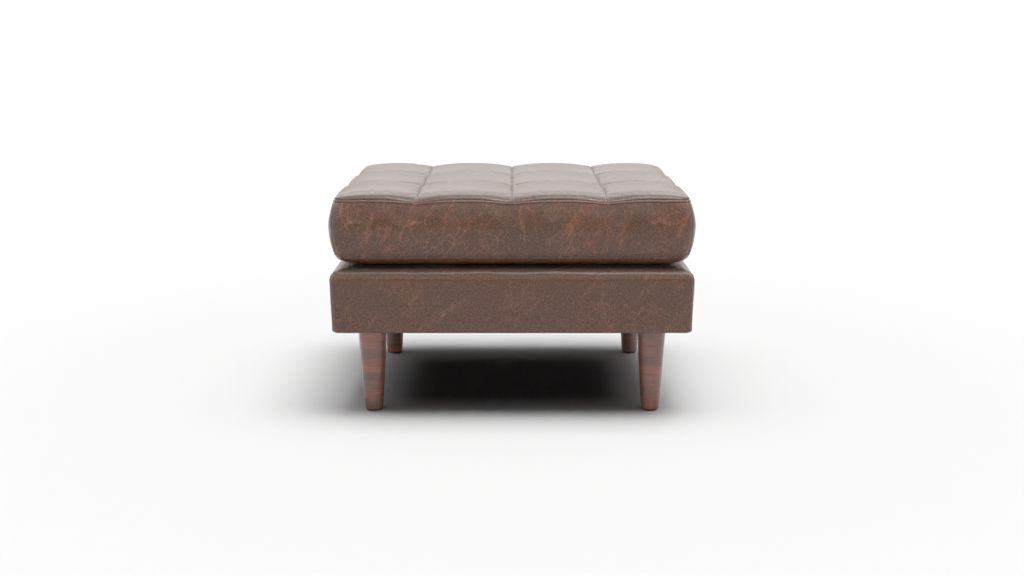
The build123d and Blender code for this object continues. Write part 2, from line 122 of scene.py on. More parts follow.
# Seams and stitching of the cushion
seam_dip = 5 * MM
seam_dip_reach = 40 * MM
seam_arch = 1.5 * MM
rim_fade = 9 * MM
stitch_rows_top = (1.2 * MM, 6.6 * MM)
stitch_rows_bottom = (-3.4 * MM, 3.4 * MM)
top_seam_strength = 1.4
bottom_seam_strength = 0.7
groove_depth = 0.9 * MM
groove_width = 0.9 * MM
ridge_height = 0.7 * MM
pucker_height = 0.4 * MM
corner_seam_depth = 0.7 * MM
corner_seam_width = 2.2 * MM
zip_slot = 7 * MM

# Base
base_half = (right_high.x, -front_low.y)
base_low, base_high = front_low.z, front_high.z
base_corner = 12 * MM
roll_radius = 24 * MM
foot_radius = 7 * MM
draw_in_at_foot = 2.5 * MM
border_width = base_half[0] - deck_high.x
underside_turn = 30 * MM
leather_thickness = 1.6 * MM
leather_clearance = 2.4 * MM
rail_cover = 8 * MM
wobble_height = 0.35 * MM

# Cloth simulation
settle_frames = 18

# Thread, staples and cloth
thread_radius = 0.42 * MM
stitch_length = 4.2 * MM
stitch_gap = 1.3 * MM
staple_width = 10 * MM
staple_pitch = 42 * MM
staple_wire = 0.45 * MM
staple_inset = 7 * MM
staple_end_gap = 25 * MM
dust_cover_sag = 2.5 * MM
dust_cover_hem = 13 * MM
leg_opening = 32.5 * MM
leg_opening_reach = 30 * MM

# Studio, with the camera as fitted to the photo
floor_reach = 30
dome_rings = 12
dome_columns = 48
dome_drop = 1
photo_width = 1024
focal_pixels = 1259
lens_height = 0.778
lens_distance = 2.756
lens_pitch = 11.68
sensor_width = 36


class Value:
    """A number that varies over a surface. Arithmetic on it adds Math nodes."""

    def __init__(self, finish, socket):
        self.finish = finish
        self.socket = socket

    def math(self, operation, *numbers):
        return self.finish.node("ShaderNodeMath", {"operation": operation}, dict(enumerate(numbers)))

    def __add__(self, other):
        return self.math("ADD", self, other)

    def __radd__(self, other):
        return self.math("ADD", other, self)

    def __sub__(self, other):
        return self.math("SUBTRACT", self, other)

    def __rsub__(self, other):
        return self.math("SUBTRACT", other, self)

    def __mul__(self, other):
        return self.math("MULTIPLY", self, other)

    def __rmul__(self, other):
        return self.math("MULTIPLY", other, self)

    def __abs__(self):
        return self.math("ABSOLUTE", self)

    def step(self, low, high):
        """0 below low, 1 above high and smooth between them."""
        return self.finish.node(
            "ShaderNodeMapRange",
            {"interpolation_type": "SMOOTHSTEP"},
            {"Value": self, "From Min": low, "From Max": high},
        )


class Finish:
    """One material, built from nodes."""

    def __init__(self, name, **constants):
        self.material = bpy.data.materials.new(name)
        self.material.use_nodes = True
        self.tree = self.material.node_tree
        self.shader = self.tree.nodes["Principled BSDF"]
        for socket, value in constants.items():
            self.shader.inputs[socket.replace("_", " ")].default_value = value
        self.place = self.node("ShaderNodeTexCoord", output="Object")
        self.facing = self.node("ShaderNodeTexCoord", output="Normal")

    def node(self, kind, settings=None, inputs=None, output=0):
        """Adds a node: first its settings, then the values or links of its sockets."""
        node = self.tree.nodes.new(kind)
        for key, value in (settings or {}).items():
            setattr(node, key, value)
        for key, value in (inputs or {}).items():
            if isinstance(value, Value):
                self.tree.links.new(value.socket, node.inputs[key])
            elif value is not None:
                node.inputs[key].default_value = value
        return Value(self, node.outputs[output])

    def stretched(self, scale, turn=(0, 0, 0), place=None):
        """Coordinates turned by degrees and scaled along their own axes."""
        angles = tuple(math.radians(a) for a in turn)
        return self.node(
            "ShaderNodeMapping",
            {"vector_type": "TEXTURE"},
            {"Vector": place or self.place, "Rotation": angles, "Scale": tuple(1 / s for s in scale)},
        )

    def parts(self, vector):
        """The X, Y and Z of a vector."""
        first = self.node("ShaderNodeSeparateXYZ", {}, {"Vector": vector})
        return [Value(self, socket) for socket in first.socket.node.outputs]

    def face_plane(self):
        """Flat coordinates across each face: along it and up it, or along and back on top."""
        facing_x, facing_y, facing_z = (abs(part) for part in self.parts(self.facing))
        x, y, z = self.parts(self.place)
        side = (facing_x - facing_y).step(-0.01, 0.01)
        top = facing_z.step(0.61, 0.63)
        along = (x * (1 - side) + y * side) * (1 - top) + x * top
        up = z * (1 - top) + y * top
        layer = side * 0.7 + top * 1.9
        return self.node("ShaderNodeCombineXYZ", {}, {0: along, 1: up, 2: layer})

    def height(self):
        """The height over the floor."""
        return self.parts(self.place)[2]

    def noise(self, scale, detail=2, roughness=0.5, distortion=0, place=None, output="Fac"):
        return self.node(
            "ShaderNodeTexNoise", {},
            {"Vector": place or self.place, "Scale": scale, "Detail": detail, "Roughness": roughness,
             "Distortion": distortion},
            output,
        )

    def cells(self, scale, feature="F1", place=None):
        return self.node(
            "ShaderNodeTexVoronoi", {"feature": feature},
            {"Vector": place or self.place, "Scale": scale}, "Distance",
        )

    def waves(self, scale, direction, distortion=0):
        return self.node(
            "ShaderNodeTexWave", {"bands_direction": direction},
            {"Vector": self.place, "Scale": scale, "Distortion": distortion},
        )

    def shift(self, amount, scale, place=None):
        """Coordinates pushed about by a noise, by up to amount."""
        push = self.noise(scale, 2, place=place, output="Color")
        return self.node(
            "ShaderNodeVectorMath", {"operation": "MULTIPLY_ADD"},
            {0: push, 1: (amount,) * 3, 2: place or self.place},
        )

    def mix(self, factor, first, second):
        """A colour between two colours."""
        ends = [(*c, 1) if isinstance(c, tuple) else c for c in (first, second)]
        return self.node(
            "ShaderNodeMix", {"data_type": "RGBA", "clamp_factor": True},
            {0: factor, 6: ends[0], 7: ends[1]}, 2,
        )

    def bump(self, height, distance, strength, under=None):
        """A relief as deep as the distance, over another one if given."""
        return self.node(
            "ShaderNodeBump", {},
            {"Height": height, "Distance": distance, "Strength": strength, "Normal": under},
        )

    def give(self, socket, value):
        """Links a value to a socket of the shader."""
        self.tree.links.new(value.socket, self.shader.inputs[socket])


class Surroundings(Finish):
    """What the glossy surfaces mirror, built from nodes by direction."""

    def __init__(self, world):
        self.tree = world.node_tree
        self.shader = self.tree.nodes["Background"]
        self.place = self.node("ShaderNodeTexCoord", output="Generated")


def leather_finish(name, dark, ruddy, olive, crease_light):
    """Waxed pull-up leather: mottled brown, a fine pebble, and lighter crease lines in bundles and webs."""
    leather = Finish(
        name, IOR=1.38, Sheen_Weight=0.05, Sheen_Roughness=0.4,
        Coat_Weight=1.0, Coat_Roughness=0.3, Coat_IOR=1.38,
    )
    mottle = leather.noise(9, 4, 0.6).step(0.38, 0.62)
    patch = leather.noise(30, 4, 0.65).step(0.35, 0.7)
    colour = leather.mix(mottle, ruddy, olive)
    colour = leather.mix(patch * 0.2, colour, dark)
    speck = leather.noise(330, 3, 0.7)
    colour = leather.mix(speck.step(0.48, 0.66) * 0.34, colour, crease_light)
    colour = leather.mix((1 - speck).step(0.48, 0.64) * 0.55, colour, dark)

    # Painted shade: the cushion's top is mixed toward the dark tone to take back light from the overhead
    # lamps; the same mask also shows fewer crease lines there
    painted_shade_top = leather.height().step(top_seam, top_seam + 4 * MM)
    colour = leather.mix(painted_shade_top * 0.55, colour, dark)

    hide = leather.face_plane()
    pulled = leather.shift(0.005, 70, leather.shift(0.03, 6, hide))
    creases = []
    for turn, reach, width, area_low in (
        (-33, 0.045, 0.07, 0.48),
        (-20, 0.040, 0.07, 0.50),
        (4, 0.035, 0.06, 0.54),
        (40, 0.025, 0.06, 0.57),
    ):
        broad = leather.stretched((13, 2.6, 13), (0, 0, turn), pulled)
        bundle = 1 - abs(leather.noise(1, 1, 0.5, place=broad) - 0.5).step(0.0, reach)
        fine = leather.stretched((170, 7, 170), (0, 0, turn), pulled)
        line = 1 - abs(leather.noise(1, 2, 0.5, place=fine) - 0.5).step(0.0, width)
        area = leather.noise(7, 2, 0.5, place=broad).step(area_low, area_low + 0.12)
        creases.append(bundle * (0.15 + line * 0.85) * area)
    for turn, across, along, width, share, area_scale, area_low in (
        (0, 78, 78, 0.045, 0.6, 11, 0.43),
        (-32, 110, 26, 0.05, 0.85, 9, 0.47),
        (8, 90, 24, 0.05, 0.7, 10, 0.50),
    ):
        web = leather.stretched((across, along, across), (0, 0, turn), pulled)
        line = 1 - leather.cells(1, "DISTANCE_TO_EDGE", web).step(0.0, width)
        drifted = leather.shift(0.3, 1.5, hide)
        area = leather.noise(area_scale, 3, 0.6, place=drifted).step(area_low, area_low + 0.12)
        creases.append(line * area * share)
    crease = sum(creases[1:], creases[0]) * (0.45 + speck.step(0.36, 0.56) * 0.55)
    on_base = 1 - leather.height().step(base_high - 10 * MM, base_high + 10 * MM)
    shown = (1 - on_base * 0.5) * (1 - painted_shade_top * 0.6)
    colour = leather.mix(crease * shown, colour, crease_light)
    leather.give("Base Color", colour)
    leather.give("Roughness", 0.42 + mottle * 0.05 - crease * 0.05 + speck * 0.06)

    pebble = leather.cells(520, "SMOOTH_F1", leather.shift(0.0015, 300))
    wrinkle = leather.noise(60, 3, 0.55)
    relief = leather.bump(wrinkle, 0.5 * MM, 0.2)
    relief = leather.bump(crease, 0.15 * MM, 0.3, relief)
    leather.give("Normal", leather.bump(pebble, 0.25 * MM, 0.4, relief))
    return leather.material


def leg_finish():
    """Red-brown stained wood with its fine figure across the leg and a satin lacquer."""
    wood = Finish("stained_leg_wood", Coat_Weight=1.0, Coat_Roughness=0.25)
    band = wood.noise(1, 3, 0.6, place=wood.stretched((9, 9, 34)))
    streak = wood.noise(1, 4, 0.7, place=wood.stretched((16, 16, 420)))
    fleck = wood.noise(1, 3, 0.7, place=wood.stretched((60, 60, 900)))
    colour = wood.mix(band.step(0.35, 0.66), (0.175, 0.088, 0.066), (0.315, 0.106, 0.064))
    colour = wood.mix(streak.step(0.42, 0.66) * 0.5, colour, (0.11, 0.062, 0.05))
    colour = wood.mix(fleck.step(0.55, 0.75) * 0.4, colour, (0.36, 0.19, 0.135))
    wood.give("Base Color", colour)
    wood.give("Roughness", 0.42 + streak * 0.12)
    wood.give("Normal", wood.bump(streak + fleck * 0.5, 0.12 * MM, 0.4))
    return wood.material


def frame_wood_finish(name, along):
    """Pale sawn hardwood with its grain along the rail."""
    wood = Finish(name)
    scale = tuple(4 if axis == along else 70 for axis in "XYZ")
    grain = wood.noise(1, 5, 0.6, 0.6, wood.stretched(scale))
    pores = wood.noise(1, 3, 0.7, place=wood.stretched(tuple(s * 7 for s in scale)))
    colour = wood.mix(grain.step(0.35, 0.68), (0.58, 0.42, 0.26), (0.42, 0.27, 0.15))
    colour = wood.mix(pores.step(0.58, 0.72) * 0.5, colour, (0.25, 0.15, 0.08))
    wood.give("Base Color", colour)
    wood.give("Roughness", 0.66 + grain * 0.15)
    wood.give("Normal", wood.bump(pores, 0.2 * MM, 0.4))
    return wood.material


def weave_finish(name, light, dark, coarseness):
    """Plain woven cloth or strap: a larger coarseness sets its threads further apart."""
    cloth = Finish(name, Specular_IOR_Level=0.12)
    scale = 1 / (2 * coarseness)
    warp, weft, upright = (cloth.waves(scale, axis, 0.4) for axis in "XYZ")
    thread = warp * 0.4 + weft * 0.4 + upright * 0.2
    fuzz = cloth.noise(900, 2)
    colour = cloth.mix(thread.step(0.25, 0.75), dark, light)
    colour = cloth.mix(fuzz.step(0.45, 0.7) * 0.3, colour, light)
    cloth.give("Base Color", colour)
    cloth.give("Roughness", 0.85 - thread * 0.08)
    cloth.give("Normal", cloth.bump(thread + fuzz * 0.3, 0.3 * MM, 0.6))
    return cloth.material


def metal_finish(name, bright, dull, roughness):
    """Machined or cast metal with fine brushing and a little tarnish."""
    metal = Finish(name, Metallic=1.0)
    brush = metal.noise(1, 3, 0.7, place=metal.stretched((30, 30, 800)))
    tarnish = metal.noise(240, 3, 0.6)
    metal.give("Base Color", metal.mix(tarnish.step(0.45, 0.75) * 0.6, bright, dull))
    metal.give("Roughness", roughness + brush * 0.14 + tarnish * 0.08)
    metal.give("Normal", metal.bump(brush, 0.05 * MM, 0.4))
    return metal.material


def foam_finish(name, pale, deep):
    """Open-cell foam or wadding."""
    filling = Finish(name)
    pores = filling.cells(900)
    cloud = filling.noise(40, 3)
    filling.give("Base Color", filling.mix(pores.step(0.1, 0.6) * 0.6 + cloud * 0.3, deep, pale))
    filling.give("Roughness", 0.9 - pores * 0.05)
    filling.give("Normal", filling.bump(pores, 0.4 * MM, 0.6))
    return filling.material


def plastic_finish(name, colour, worn):
    """Moulded plastic with a fine spark texture and rubbed places."""
    plastic = Finish(name)
    spark = plastic.noise(1500, 2, 0.6)
    rub = plastic.noise(90, 3).step(0.5, 0.8)
    plastic.give("Base Color", plastic.mix(rub * 0.5, colour, worn))
    plastic.give("Roughness", 0.5 + spark * 0.12 - rub * 0.1)
    plastic.give("Normal", plastic.bump(spark, 0.05 * MM, 0.5))
    return plastic.material


def thread_finish(name, dark, light):
    """Twisted bonded thread."""
    thread = Finish(name, Sheen_Weight=0.2)
    ply = thread.waves(900, "DIAGONAL")
    tone = thread.noise(60, 2)
    thread.give("Base Color", thread.mix(tone.step(0.3, 0.7), dark, light))
    thread.give("Roughness", 0.55 + ply * 0.1)
    thread.give("Normal", thread.bump(ply, 0.1 * MM, 0.6))
    return thread.material


def floor_finish():
    """Matt white studio floor with painted shade: a little darker near the object, lighter far from it."""
    paint = Finish("studio_floor", Specular_IOR_Level=0.0)
    cloud = paint.noise(1.5, 3)
    distance = paint.node("ShaderNodeVectorMath", {"operation": "LENGTH"}, {0: paint.place}, "Value")
    # Painted shade round the object, fading out with distance from it
    painted_shade_fade = distance.step(0.5, 2.2)
    paint.give("Base Color", paint.mix(painted_shade_fade - cloud * 0.1, (0.745, 0.745, 0.745), (0.80, 0.80, 0.80)))
    paint.give("Roughness", 0.85 + cloud * 0.05)
    return paint.material


def backdrop_finish():
    """Evenly lit white paper behind everything."""
    paper = Finish("white_backdrop", Specular_IOR_Level=0.0, Emission_Strength=1.0)
    cloud = paper.noise(0.2, 2)
    paper.give("Base Color", paper.mix(cloud * 0.1, (0.0, 0.0, 0.0), (0.01, 0.01, 0.01)))
    paper.give("Emission Color", paper.mix(cloud * 0.1, (1.05, 1.05, 1.05), (1.04, 1.04, 1.04)))
    return paper.material


cushion_leather = leather_finish(
    "brown_waxed_leather",
    dark=(0.056, 0.028, 0.018),
    ruddy=(0.116, 0.052, 0.033),
    olive=(0.098, 0.054, 0.035),
    crease_light=(0.30, 0.122, 0.064),
)
leg_wood = leg_finish()
rail_wood = frame_wood_finish("rail_hardwood", "X")
cross_wood = frame_wood_finish("cross_hardwood", "Y")
cambric = weave_finish("black_cambric", (0.022, 0.022, 0.024), (0.008, 0.008, 0.009), 0.9 * MM)
platform_cloth = weave_finish("platform_cloth", (0.075, 0.06, 0.05), (0.03, 0.024, 0.02), 0.8 * MM)
strap = weave_finish("elastic_webbing", (0.05, 0.05, 0.055), (0.02, 0.02, 0.022), 1.6 * MM)
hook_tape = weave_finish("hook_tape", (0.06, 0.06, 0.06), (0.008, 0.008, 0.008), 1.3 * MM)
loop_tape = weave_finish("loop_tape", (0.045, 0.045, 0.045), (0.02, 0.02, 0.02), 0.6 * MM)
zip_cloth = weave_finish("zip_tape_weave", (0.10, 0.062, 0.045), (0.05, 0.03, 0.022), 0.6 * MM)
brass = metal_finish("antique_brass", (0.52, 0.38, 0.2), (0.22, 0.15, 0.08), 0.3)
steel = metal_finish("zinc_steel", (0.6, 0.6, 0.62), (0.4, 0.4, 0.42), 0.32)
foam = foam_finish("seat_foam", (0.85, 0.82, 0.72), (0.62, 0.57, 0.46))
glide_plastic = plastic_finish("glide_plastic", (0.035, 0.03, 0.028), (0.09, 0.08, 0.075))
seam_thread = thread_finish("seam_thread", (0.07, 0.042, 0.03), (0.12, 0.072, 0.05))
# Near-black finish of the column seam cords: it stands for the seams' thread and paints the shade in the
# seams' valleys
seam_shade_cord_finish = thread_finish("seam_valley_shade_cord", (0.02, 0.011, 0.008), (0.045, 0.026, 0.018))
grip_thread = thread_finish("black_thread", (0.012, 0.012, 0.012), (0.03, 0.03, 0.03))


def finish_node(name, material):
    """Gives a kept piece of the frame its material."""
    for material_slot in nodes[name].material_slots:
        material_slot.material = material


for name in nodes:
    if name.startswith("leg_"):
        finish_node(name, leg_wood)
    elif name.startswith("glide_"):
        finish_node(name, glide_plastic)
    elif name in ("front_rail", "rear_rail") or name.startswith("corner_block"):
        finish_node(name, rail_wood)
    elif name.endswith("_rail") or name == "frame_dowels":
        finish_node(name, cross_wood)
    elif name.endswith("_webbing"):
        finish_node(name, strap)
    elif name in ("block_screws", "tee_nuts", "hanger_bolts"):
        finish_node(name, steel)
    elif name == "hook_strips":
        finish_node(name, hook_tape)
    elif name == "loop_strips":
        finish_node(name, loop_tape)
    elif name == "zip_tape":
        finish_node(name, zip_cloth)
    elif name in ("zip_chain", "zip_slider", "zip_pull"):
        finish_node(name, brass)
    elif name in ("cushion_core", "crown_pad", "deck_pad", "side_padding"):
        finish_node(name, foam)
    elif name == "platform_panel":
        finish_node(name, platform_cloth)
    elif name == "dust_cover":
        finish_node(name, cambric)
    else:
        finish_node(name, cushion_leather)


def add_piece(name, points, faces, material, body, slot):
    """Makes a smooth mesh piece that moves with a body."""
    mesh = bpy.data.meshes.new(name)
    mesh.from_pydata([tuple(p) for p in points], [], faces)
    mesh.update()
    mesh.polygons.foreach_set("use_smooth", [True] * len(mesh.polygons))
    mesh.materials.append(material)
    piece = bpy.data.objects.new(name, mesh)
    bpy.context.scene.collection.objects.link(piece)
    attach(piece, body)
    return piece


def grid_faces(height, width, loop=False, keep=None):
    """Quads between rows of points, counter-clockwise where rows go up and points go right."""
    faces = []
    for i in range(height - 1):
        for j in range(width if loop else width - 1):
            if keep is None or keep(i, j):
                row, next_row, k = i * width, (i + 1) * width, (j + 1) % width
                faces.append((row + j, row + k, next_row + k, next_row + j))
    return faces


def flipped(faces):
    """The same faces, turned to face the other way."""
    return [tuple(reversed(face)) for face in faces]


def caps(height, width):
    """The two faces that close a tube of rows of points: its first ring and its last."""
    return tuple(range(width)), tuple((height - 1) * width + k for k in range(width))


def graded(start, end, coarse, fine, fine_at):
    """Places from start to end, with spacing that goes from coarse to fine near the listed places."""
    places = [start]
    while places[-1] < end - fine * 0.6:
        here = places[-1]
        nearest = min(abs(here + fine - p) for p in fine_at)
        gap = min(coarse, fine + nearest * 0.25)
        ahead = [p for p in fine_at if here + 1e-7 < p <= here + gap * 1.4]
        places.append(min(ahead) if ahead else here + gap)
    places[-1] = end
    return places


def edge_lines(core_half, fine_at):
    """Grid lines across a rounded rectangle: (place on the straight part, share of the corner's radius)."""
    steps = 9
    straight = graded(-core_half, core_half, 5 * MM, 1.3 * MM, fine_at)
    shares = [math.sin(math.pi / 2 * (i + 1) / steps) for i in range(steps)]
    return (
        [(-core_half, -s) for s in reversed(shares)]
        + [(p, 0.0) for p in straight]
        + [(core_half, s) for s in shares]
    )


zip_half = chain_high.x
lines_x = edge_lines(core[0], (*columns, -zip_half, zip_half))
lines_y = edge_lines(core[1], rows)


def rim_points(lines_a, lines_b):
    """The grid's outer points (place x, share x, place y, share y), counter-clockwise from the front left."""
    low_a, high_a, low_b, high_b = lines_a[0], lines_a[-1], lines_b[0], lines_b[-1]
    pairs = (
        [(a, low_b) for a in lines_a[:-1]]
        + [(high_a, b) for b in lines_b[:-1]]
        + [(a, high_b) for a in reversed(lines_a[1:])]
        + [(low_a, b) for b in reversed(lines_b[1:])]
    )
    return np.array([(*a, *b) for a, b in pairs])


rim = rim_points(lines_x, lines_y)


def spread(lines, half_x, half_y, radius, core_half):
    """Places of grid points (place x, share x, place y, share y) in a rounded rectangle."""
    px, sx, py, sy = lines.T
    x = px * (half_x - radius) / core_half[0] + radius * sx * np.sqrt(1 - sy ** 2 / 2)
    y = py * (half_y - radius) / core_half[1] + radius * sy * np.sqrt(1 - sx ** 2 / 2)
    return np.stack([x, y], axis=1)


def seam_wave(x, y):
    """How far the sewn edge of the top rises or dips, by the place round it."""
    dips = sum(np.exp(-((x - c) / seam_dip_reach) ** 2) for c in columns) * seam_dip
    row_dips = sum(np.exp(-((y - r) / seam_dip_reach) ** 2) for r in rows) * seam_dip * 0.5
    side = np.clip((np.abs(y) - core[1]) / (corner_radius * 0.5), 0, 1)
    return (seam_arch - dips) * side - row_dips * (1 - side)


def hump(t, first, second, near, far):
    """A biscuit's rise from one seam's share to the other's, with a steep share near its ends."""
    base = first + (second - first) * (3 * t ** 2 - 2 * t ** 3)
    off_middle = np.abs(2 * t - 1)
    steep = np.where(t < 0.5, near, far)
    fall = steep * off_middle ** edge_power + (1 - steep) * off_middle ** biscuit_power
    return base + (1 - base) * (1 - fall)


def ridge_shares(place, edges, share, outer_steep):
    """The crown's share of its full rise across one direction."""
    result = np.zeros_like(place)
    last = len(edges) - 2
    for i, (a, b) in enumerate(zip(edges, edges[1:])):
        first, near = (0.0, outer_steep) if i == 0 else (share, 0.0)
        second, far = (0.0, outer_steep) if i == last else (share, 0.0)
        t = np.clip((place - a) / (b - a), 0, 1)
        value = hump(t, first, second, near, far)
        result = np.where((place >= a) & (place <= b), value, result)
    return result


def crown_heights(x, y):
    """Heights of the tufted top over its seam plane, and how far in from its edge each place is."""
    half_x, half_y = cushion_half[0] - top_draw_in, cushion_half[1] - top_draw_in
    near_column = sum(np.exp(-((x - c) / column_end_reach) ** 2) for c in columns)
    near_row = sum(np.exp(-((y - r) / column_end_reach) ** 2) for r in rows)
    side_steep = side_steepness - side_easing * near_row
    front_steep = front_steepness - front_easing * near_column
    across = ridge_shares(x, (-half_x, *columns, half_x), column_share, side_steep)
    along = ridge_shares(y, (-half_y, *rows, half_y), row_share, front_steep)
    height = crown_rise * across * along
    for c in columns:
        for r in rows:
            painted_shade_fade = np.hypot(x - c, y - r)
            angle = np.arctan2(y - r, x - c)
            ring = np.exp(-((painted_shade_fade - gather_reach) / gather_reach) ** 2)
            height -= tuft_depth * np.exp(-(painted_shade_fade / tuft_reach) ** tuft_power)
            height += gather_height * np.cos(gathers_per_tuft * angle) * ring
    edge = np.minimum(half_x - np.abs(x), half_y - np.abs(y))
    for c in columns:
        crease = np.exp(-np.abs(x - c) / column_crease_reach)
        height -= seam_crease * crease * np.clip(edge / (4 * MM), 0, 1)
    for r in rows:
        crease = np.exp(-np.abs(y - r) / row_crease_reach)
        height -= row_crease_share * seam_crease * crease * np.clip(edge / (30 * MM), 0, 1)
    return height, edge


def settle(points, faces, sewn, pressure, spare, cap):
    """Cloth simulation of a filled skin: how far each of its points moves, up to a cap.

    sewn is how firmly each point is held, from 0 to 1, and spare is the share of extra leather.
    """
    mesh = bpy.data.meshes.new("skin")
    mesh.from_pydata(points.tolist(), [], faces)
    mesh.update()
    skin = bpy.data.objects.new("skin", mesh)
    scene = bpy.context.scene
    scene.collection.objects.link(skin)
    group = skin.vertex_groups.new(name="sewn")
    levels = np.round(sewn * 10) / 10
    for level in np.unique(levels[levels > 0]):
        group.add(np.flatnonzero(levels == level).tolist(), float(level), "REPLACE")
    cloth = skin.modifiers.new("cloth", "CLOTH")
    cloth.collision_settings.use_collision = False
    settings = cloth.settings
    settings.quality = 5
    settings.mass = 0.35
    settings.tension_stiffness = 25
    settings.compression_stiffness = 25
    settings.shear_stiffness = 12
    settings.bending_stiffness = 1.5
    settings.air_damping = 2
    settings.use_pressure = True
    settings.uniform_pressure_force = pressure
    settings.shrink_min = -spare
    settings.effector_weights.gravity = 0
    settings.vertex_group_mass = "sewn"
    for moment in range(settle_frames):
        scene.frame_set(moment + 1)
    graph = bpy.context.evaluated_depsgraph_get()
    settled = np.empty(len(points) * 3, np.float32)
    skin.evaluated_get(graph).data.vertices.foreach_get("co", settled)
    bpy.data.objects.remove(skin)
    scene.frame_set(1)
    moved = settled.reshape(-1, 3) - points
    length = np.linalg.norm(moved, axis=1)[:, None]
    return moved * np.minimum(1, cap / np.maximum(length, 1e-9))


def tufted_top():
    """The crowned top panel with its filling: twelve biscuits in four columns and three rows."""
    width, height = len(lines_x), len(lines_y)
    lines = np.array([(*a, *b) for b in lines_y for a in lines_x])
    half = [h - top_draw_in for h in cushion_half]
    plan = spread(lines, half[0], half[1], corner_radius - top_draw_in, core)
    x, y = plan.T
    rise, edge = crown_heights(x, y)
    z = top_seam + rise + seam_wave(x, y) * np.exp(-edge / rim_fade)
    top = np.stack([x, y, z], axis=1)
    faces = grid_faces(height, width)
    on_seam = (
        sum(np.exp(-np.abs(x - c) / (2 * MM)) for c in columns)
        + sum(0.45 * np.exp(-((y - r) / (9 * MM)) ** 2) for r in rows)
        + 1.2 * np.exp(-edge / (14 * MM))
    )
    sewn = np.clip(on_seam, 0, 1)
    top += settle(top, faces, sewn, pressure=1.0, spare=0.009, cap=0.7 * MM)

    rim_index = (
        list(range(width - 1))
        + [j * width + width - 1 for j in range(height - 1)]
        + [(height - 1) * width + i for i in range(width - 1, 0, -1)]
        + [j * width for j in range(height - 1, 0, -1)]
    )
    inner_ring = top[rim_index] * (inner_rim_share, inner_rim_share, 1)
    inner_ring[:, 2] = top_seam - 14 * MM
    start = len(top)
    count = len(rim_index)
    for k in range(count):
        n = (k + 1) % count
        faces.append((rim_index[n], rim_index[k], start + k, start + n))
    faces.append(tuple(start + k for k in reversed(range(count))))

    # Dark cords along the column seams: partly the seams' thread, partly painted shade for the seams' valleys
    cords = []
    for c in columns:
        at_x = int(np.abs(np.array([a[0] for a in lines_x]) - c).argmin())
        seam = top.reshape(height, width, 3)[1:-1, at_x]
        cords.append(wire(seam + (0, 0, cord_lift), cord_radius))
    add_piece("column_seam_shade_cords", *joined(cords), seam_shade_cord_finish, "cushion", "leather")
    points = np.concatenate([top, inner_ring])
    piece = add_piece("tufted_top", points, faces, cushion_leather, "cushion", "leather")
    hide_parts("cushion_top_panel", "crown_pad")


def band_draw_in(z):
    """How far the boxing is drawn in from its fullest line at a height."""
    up = np.clip((z - bulge_height) / (top_seam - bulge_height), 0, None)
    down = np.clip((bulge_height - z) / (bulge_height - bottom_seam), 0, None)
    return top_draw_in * up ** upper_bulge_power + bottom_draw_in * down ** lower_bulge_power


def groove_profile(distance, lines, strength):
    """Depth of the stitched grooves and the ridge between them at a distance from the seam."""
    depth = sum(strength * groove_depth * np.exp(-((distance - s) / groove_width) ** 2) for s in lines)
    middle = sum(lines) / len(lines)
    spread_out = (lines[1] - lines[0]) / 3
    return depth - strength * ridge_height * np.exp(-((distance - middle) / spread_out) ** 4)


def boxing_points():
    """Heights and rows of points of the boxing from the bottom seam to the top seam, all round."""
    fine_at = (
        bottom_seam,
        bottom_seam + stitch_rows_bottom[1],
        bulge_height - zip_slot / 2,
        bulge_height + zip_slot / 2,
        top_seam - stitch_rows_top[1],
        top_seam - stitch_rows_top[0],
        top_seam,
    )
    levels = np.array(graded(bottom_seam, top_seam, 4 * MM, 0.8 * MM, fine_at))
    grid = []
    for z in levels:
        draw = float(band_draw_in(z))
        plan = spread(rim, cushion_half[0] - draw, cushion_half[1] - draw, corner_radius - draw, core)
        fade = np.clip((z - bulge_height) / (top_seam - bulge_height), 0, 1) ** 1.5
        grid.append(np.column_stack([plan, z + seam_wave(plan[:, 0], plan[:, 1]) * fade]))
    grid = np.array(grid)
    height, width = grid.shape[:2]

    x, y = grid[:, :, 0], grid[:, :, 1]
    near_bulge = np.abs(levels[:, None] - bulge_height) < 12 * MM
    near_zip = (y > 0) & near_bulge & (np.abs(x) < zip_half + 15 * MM)
    to_seam = np.minimum(levels - bottom_seam, top_seam - levels)[:, None]
    sewn = np.maximum(np.exp(-to_seam / (3 * MM)) * np.ones_like(x), near_zip)
    faces = grid_faces(height, width, loop=True)
    moved = settle(grid.reshape(-1, 3), faces, sewn.ravel(), pressure=0.5, spare=0.005, cap=0.6 * MM)
    grid = grid + moved.reshape(grid.shape)

    for row, z in zip(grid, levels):
        inward = groove_profile(top_seam - z, stitch_rows_top, top_seam_strength)
        inward += groove_profile(z - bottom_seam, stitch_rows_bottom, bottom_seam_strength)
        pucker = pucker_height * np.sin(row[:, 0] * 61 + row[:, 1] * 47 + z * 90)
        pucker *= math.sin(math.pi * (z - bottom_seam) / (top_seam - bottom_seam))
        pucker -= corner_groove(row, core)
        row[:, :2] += outward_normals(row[:, :2]) * (pucker - inward)[:, None]
    return levels, grid


def outward_normals(loop):
    """Plan directions that point out of a closed loop of points."""
    ahead = np.roll(loop, -1, axis=0) - np.roll(loop, 1, axis=0)
    normal = np.stack([ahead[:, 1], -ahead[:, 0]], axis=1)
    return normal / np.linalg.norm(normal, axis=1)[:, None]


def corner_groove(row, core_half):
    """Depth of the upright seam at the middle of each corner."""
    over_x, over_y = np.abs(row[:, 0]) - core_half[0], np.abs(row[:, 1]) - core_half[1]
    at_corner = (over_x > 0) & (over_y > 0)
    return at_corner * corner_seam_depth * np.exp(-((over_x - over_y) / corner_seam_width) ** 2)


